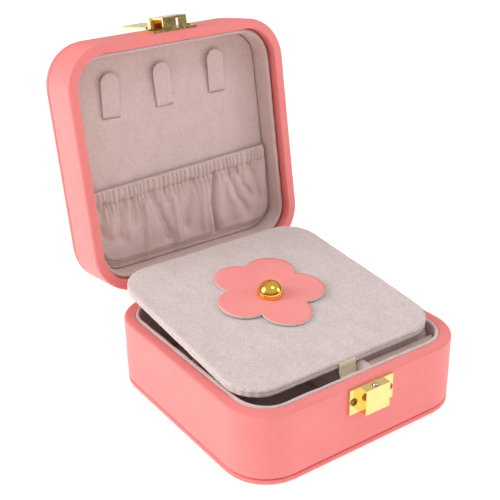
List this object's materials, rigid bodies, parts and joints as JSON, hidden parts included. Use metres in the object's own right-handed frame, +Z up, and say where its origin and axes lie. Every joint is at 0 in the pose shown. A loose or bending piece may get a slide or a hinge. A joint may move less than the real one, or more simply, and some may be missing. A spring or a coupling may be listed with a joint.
{
  "type": "jewelry_box",
  "caption": "Square travel jewelry box in pink leather-look cover: hinged lid with necklace tabs and gathered pocket, velvet lining, loose flower cover board, gold hasp.",
  "frame": {"origin": "middle of the underside of the base, on the table plane", "axes": "+X to the right seen from the clasp side, +Y toward the hinges, +Z up"},
  "size_m": [0.1, 0.1613, 0.1336],
  "materials": {
    "pink_leather": "satin coral-pink imitation leather with a fine grain",
    "fibreboard": "raw medium-density fibreboard, hidden under the covers",
    "card": "grey card backing, hidden",
    "velvet": "pale pinkish-grey microfibre velvet with a short nap",
    "ribbon": "beige woven ribbon with fine cross ribs",
    "brass": "polished gold-plated metal",
    "steel": "polished steel"
  },
  "bodies": {
    "base": {"base_bottom_panel": "pink_leather", "base_shell": "fibreboard", "base_leather": "pink_leather", "base_floor_board": "fibreboard", "base_lining": "velvet", "base_floor_pad": "velvet", "middle_divider": "velvet", "left_cross_divider": "velvet", "right_cross_divider": "velvet", "ring_roll_1": "velvet", "ring_roll_2": "velvet", "ring_roll_3": "velvet", "ring_roll_4": "velvet", "ring_roll_5": "velvet", "catch_plate": "brass", "catch_spring": "steel", "catch_screws": "brass", "hinge_base_leaf_left": "brass", "hinge_base_leaf_right": "brass", "hinge_pin_left": "brass", "hinge_pin_right": "brass", "hinge_base_screws": "brass"},
    "lid": {"lid_top_panel": "pink_leather", "lid_shell": "fibreboard", "lid_leather": "pink_leather", "lid_inner_board": "fibreboard", "lid_lining": "velvet", "lid_lining_pad": "velvet", "lid_lining_card": "card", "necklace_tab_left": "velvet", "necklace_tab_middle": "velvet", "necklace_tab_right": "velvet", "pocket_band": "velvet", "gathered_pocket": "velvet", "hasp_plate": "brass", "hasp_screws": "brass", "flap_pin": "brass", "hinge_lid_leaf_left": "brass", "hinge_lid_leaf_right": "brass", "hinge_lid_screws": "brass"},
    "flap": {"hasp_flap": "brass"},
    "ball": {"catch_ball": "steel"},
    "cover": {"cover_board": "fibreboard", "cover_velvet": "velvet", "cover_backing": "velvet", "flower": "pink_leather", "flower_stud": "brass", "stud_washer": "brass", "pull_ribbon": "ribbon"}
  },
  "joints": [
    {"name": "lid_hinge", "type": "hinge", "parent": "base", "child": "lid", "pos_m": [0, 0.0529, 0.0268], "axis": [1, 0, 0], "range_deg": [0, 98.75]},
    {"name": "flap_hinge", "type": "hinge", "parent": "lid", "child": "flap", "pos_m": [0, 0.08356, 0.13004], "axis": [1, 0, 0], "range_deg": [0, 180]},
    {"name": "cover_lower", "type": "hinge", "parent": "base", "child": "cover", "pos_m": [0, -0.03669, 0.09033], "axis": [1, 0, 0], "range_deg": [-5.9, 0], "deforming": ["pull_ribbon"]},
    {"name": "ball_press", "type": "slide", "parent": "base", "child": "ball", "axis": [0, 0, -1], "range_m": [0, 0.0009], "stiffness_N_per_m": 150, "springref_m": -0.0005, "deforming": ["catch_spring"]}
  ],
  "couplings": [
    {"joint": "cover_lower", "follows": "lid_hinge", "ratio": -0.059747}
  ]
}
